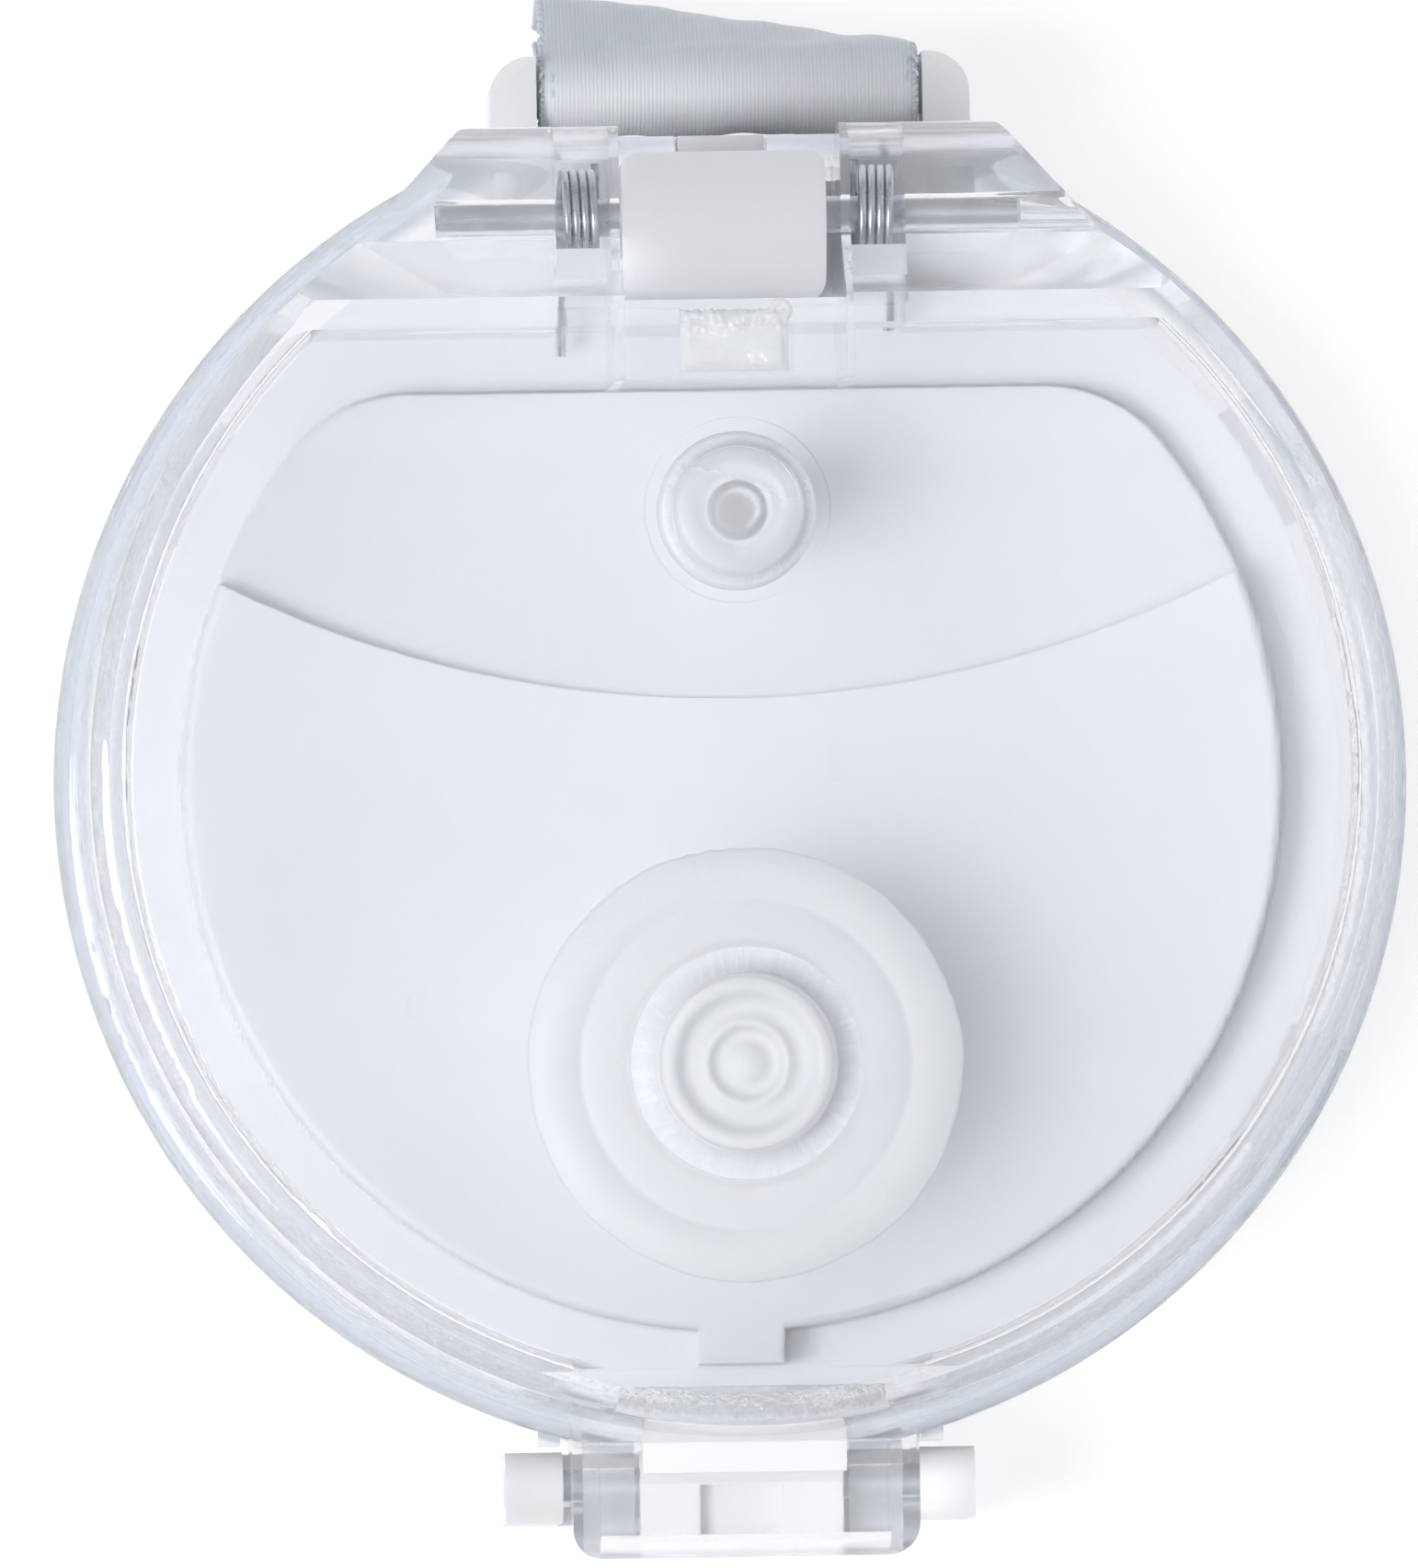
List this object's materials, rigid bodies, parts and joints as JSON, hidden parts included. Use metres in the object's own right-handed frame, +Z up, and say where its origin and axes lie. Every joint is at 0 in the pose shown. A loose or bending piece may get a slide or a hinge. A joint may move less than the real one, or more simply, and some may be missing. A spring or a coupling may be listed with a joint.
{
  "type": "flip-top bottle lid",
  "caption": "Clear flip-top lid for a drinking bottle, with a sprung hinge, spout, vent, rocker latch, swinging lock ring and webbing loop.",
  "frame": {"origin": "on the lid's axis in the plane of its open bottom rim, at the mouth of the neck bore", "axes": "+Z up from the bottle through the closed cover, +Y towards the hinge and the webbing loop, -Y towards the latch"},
  "size_m": [0.072, 0.0814, 0.035],
  "materials": {
    "clear_plastic": "clear moulded copolyester, glossy",
    "white_plastic": "white moulded polypropylene, satin",
    "silicone": "translucent white silicone, matte",
    "steel": "stainless steel, drawn",
    "webbing": "white woven webbing, fine lengthwise ribs",
    "thread": "white sewing thread"
  },
  "bodies": {
    "base": {"outer_shell": "clear_plastic", "inner_cap": "white_plastic", "neck_gasket": "silicone", "vent_valve": "silicone", "strap_bracket": "white_plastic", "latch_pin": "steel", "button_spring": "steel"},
    "cover": {"cover": "clear_plastic", "hinge_pin": "steel", "spout_seal": "silicone", "vent_seal": "silicone", "spring_left": "steel", "spring_right": "steel"},
    "button": {"push_button": "white_plastic"},
    "ring": {"lock_ring": "white_plastic"},
    "strap": {"strap": "webbing", "strap_stitching": "thread"}
  },
  "joints": [
    {"name": "cover_hinge", "type": "hinge", "parent": "base", "child": "cover", "pos_m": [0, 0.0298, 0.0245], "axis": [-1, 0, 0], "range_deg": [0, 125], "deforming": ["spring_left", "spring_right"]},
    {"name": "button_press", "type": "hinge", "parent": "base", "child": "button", "pos_m": [0, -0.0373, 0.0132], "axis": [1, 0, 0], "range_deg": [0, 7.5], "stiffness_Nm_per_rad": 0.05, "springref_deg": -2.86, "deforming": ["button_spring"]},
    {"name": "ring_swing", "type": "hinge", "parent": "base", "child": "ring", "pos_m": [0, -0.0373, 0.0132], "axis": [-1, 0, 0], "range_deg": [0, 180]},
    {"name": "strap_swing", "type": "hinge", "parent": "base", "child": "strap", "pos_m": [0.0007, 0.0373, 0.01025], "axis": [1, 0, 0], "range_deg": [-16, 75]}
  ]
}
